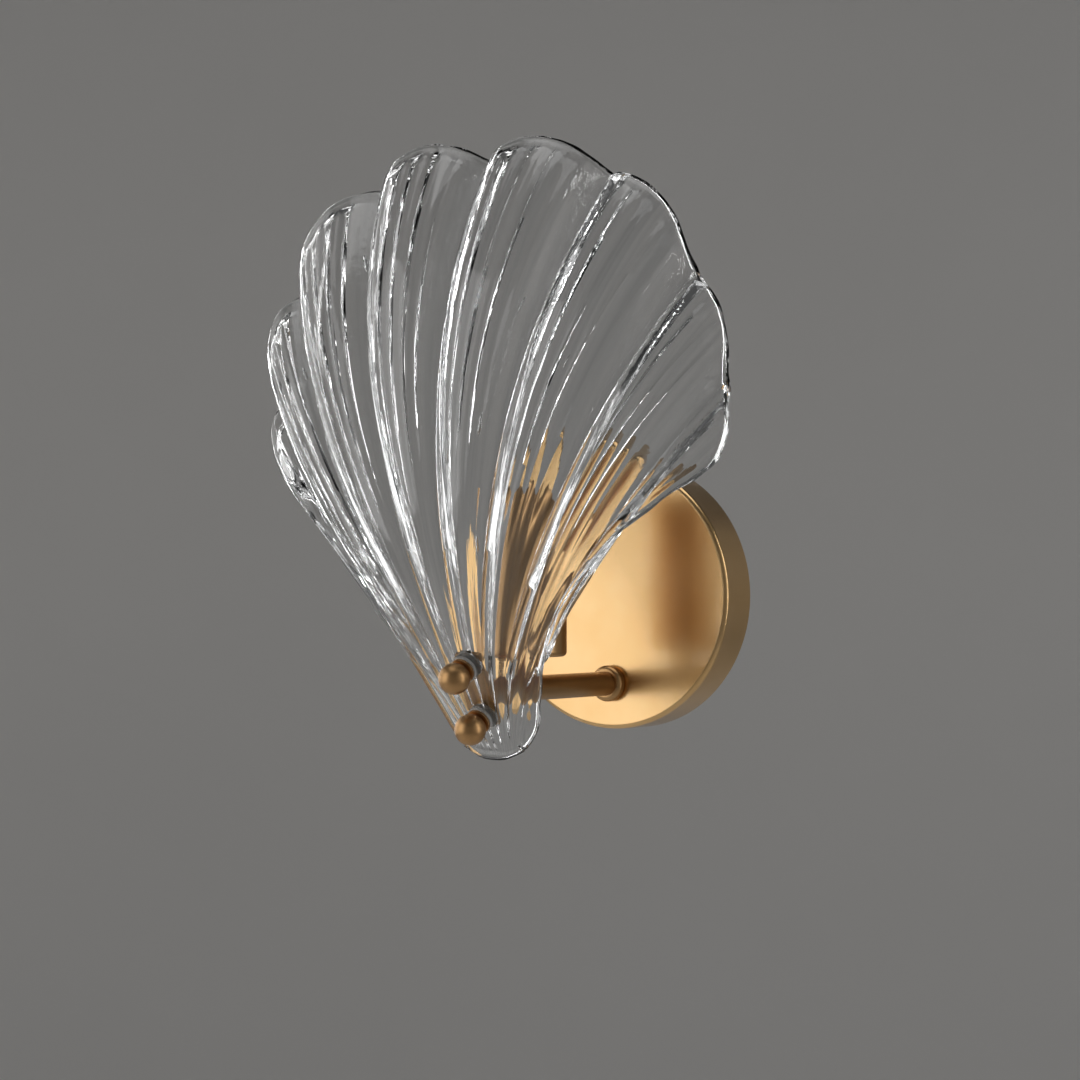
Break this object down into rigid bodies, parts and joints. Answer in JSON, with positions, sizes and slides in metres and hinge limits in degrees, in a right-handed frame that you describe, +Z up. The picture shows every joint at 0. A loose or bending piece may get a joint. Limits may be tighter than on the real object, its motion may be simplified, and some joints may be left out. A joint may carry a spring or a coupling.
{
  "type": "wall sconce",
  "caption": "Wall sconce with a round brass canopy, a straight arm with a lamp cup, and a fluted clear glass shell held on a leaning plate by ball nuts.",
  "frame": {"origin": "centre of the canopy's open back, on the wall", "axes": "+Z up along the wall, -Y out of the wall, +X to the viewer's right when facing the lamp"},
  "size_m": [0.2346, 0.165, 0.2629],
  "materials": {
    "brushed_brass": "brushed satin",
    "zinc_steel": "zinc plated",
    "clear_glass": "clear, polished",
    "frosted_glass": "frosted",
    "white_ceramic": "glazed ceramic",
    "block_plastic": "moulded",
    "clear_plastic": "clear, soft",
    "black_rubber": "moulded"
  },
  "bodies": {
    "frame": {"wall_strap": "zinc_steel", "canopy": "brushed_brass", "canopy_screws": "brushed_brass", "earth_clamp": "zinc_steel", "earth_screw": "zinc_steel", "terminal_block": "block_plastic", "terminal_screws": "zinc_steel", "block_screw": "zinc_steel", "arm_tube": "brushed_brass", "arm_collar": "brushed_brass", "arm_nipple": "zinc_steel", "arm_lock_washer": "zinc_steel", "arm_lock_nut": "zinc_steel", "cable_bush": "black_rubber", "cup_stem": "brushed_brass", "lamp_cup": "brushed_brass", "holder_bracket": "zinc_steel", "cup_lock_washer": "zinc_steel", "cup_lock_nut": "zinc_steel", "lamp_holder": "white_ceramic", "holder_rivets": "zinc_steel", "shell_plate": "brushed_brass", "shell_stud_upper": "brushed_brass", "shell_stud_lower": "brushed_brass", "glass_sleeve_upper": "clear_plastic", "glass_sleeve_lower": "clear_plastic", "soft_washer_upper": "clear_plastic", "soft_washer_lower": "clear_plastic", "face_washer_upper": "brushed_brass", "face_washer_lower": "brushed_brass", "shell_glass": "clear_glass"},
    "ball_nut_upper": {"ball_nut_upper": "brushed_brass"},
    "ball_nut_lower": {"ball_nut_lower": "brushed_brass"},
    "lamp": {"lamp_base": "white_ceramic", "lamp_glass": "frosted_glass", "lamp_pins": "zinc_steel"}
  },
  "joints": [
    {"name": "upper_ball_turn", "type": "hinge", "parent": "frame", "child": "ball_nut_upper", "pos_m": [0, -0.14392, -0.03375], "axis": [0, -0.8796, -0.4756], "continuous": true},
    {"name": "lower_ball_turn", "type": "hinge", "parent": "frame", "child": "ball_nut_lower", "pos_m": [0, -0.13218, -0.05548], "axis": [0, -0.8796, -0.4756], "continuous": true},
    {"name": "lamp_pull", "type": "slide", "parent": "frame", "child": "lamp", "axis": [0, 0, 1], "range_m": [0, 0.055]}
  ]
}
